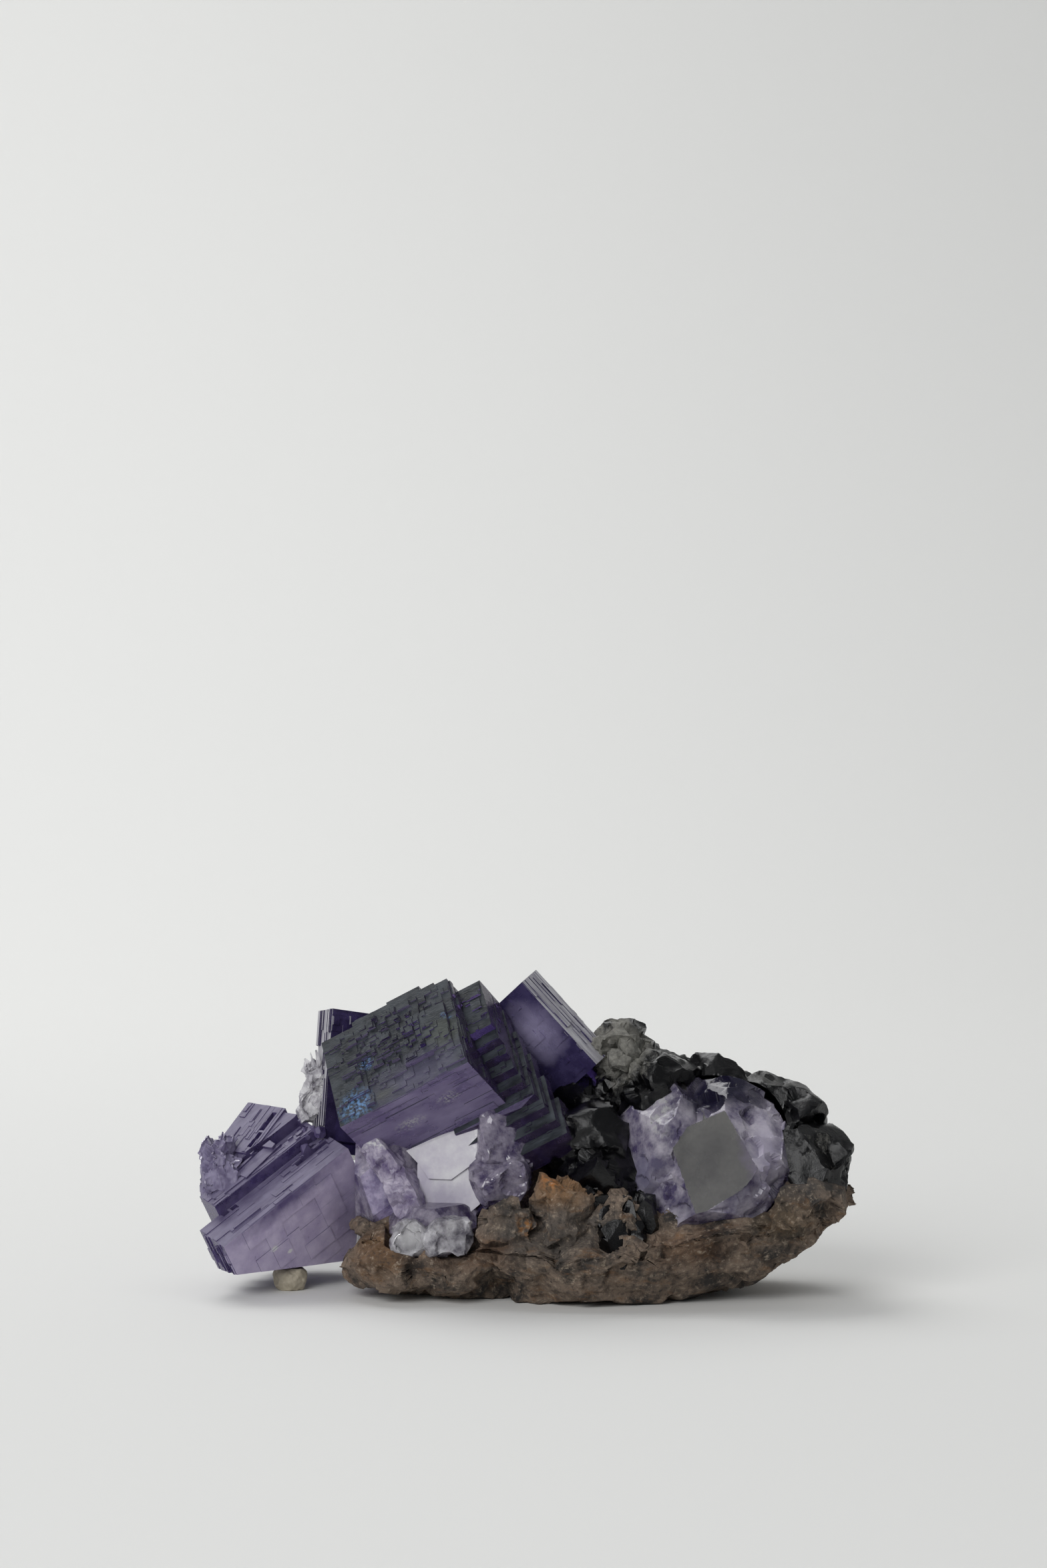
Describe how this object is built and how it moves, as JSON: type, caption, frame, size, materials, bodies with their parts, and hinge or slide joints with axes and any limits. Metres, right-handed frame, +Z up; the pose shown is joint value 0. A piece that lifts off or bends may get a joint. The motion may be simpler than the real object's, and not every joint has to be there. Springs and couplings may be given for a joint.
{
  "type": "fluorite cube cluster on sphalerite and rock",
  "caption": "Cluster of stepped purple fluorite cubes and cleaved clear fluorite on black sphalerite and brown host rock, resting on its rock base with a small ball of putty.",
  "frame": {"origin": "a point near the middle of the flat that the host rock rests on", "axes": "+X to the specimen's right along its longest side, +Y away from its front, +Z up"},
  "size_m": [0.1005, 0.0449, 0.048],
  "materials": {
    "host_rock": "rough broken host rock with rust-brown staining",
    "sphalerite": "black crystals, resinous gloss on fresh faces and grey where weathered",
    "frosted_fluorite": "grey-purple, lightly frosted crystal faces with fine growth steps",
    "purple_fluorite": "deep purple clear crystal, stepped satin faces and glassy cleavages",
    "cleaved_fluorite": "pale lilac clear crystal with rough conchoidal fracture and one flat cleavage",
    "putty": "matt beige putty with finger creases"
  },
  "bodies": {
    "root": {"matrix_rock": "host_rock", "sphalerite_crust": "sphalerite", "fluorite_left_stack": "frosted_fluorite", "fluorite_centre_cluster": "purple_fluorite", "fluorite_right_cleaved": "cleaved_fluorite", "putty_rest": "putty"}
  },
  "joints": []
}
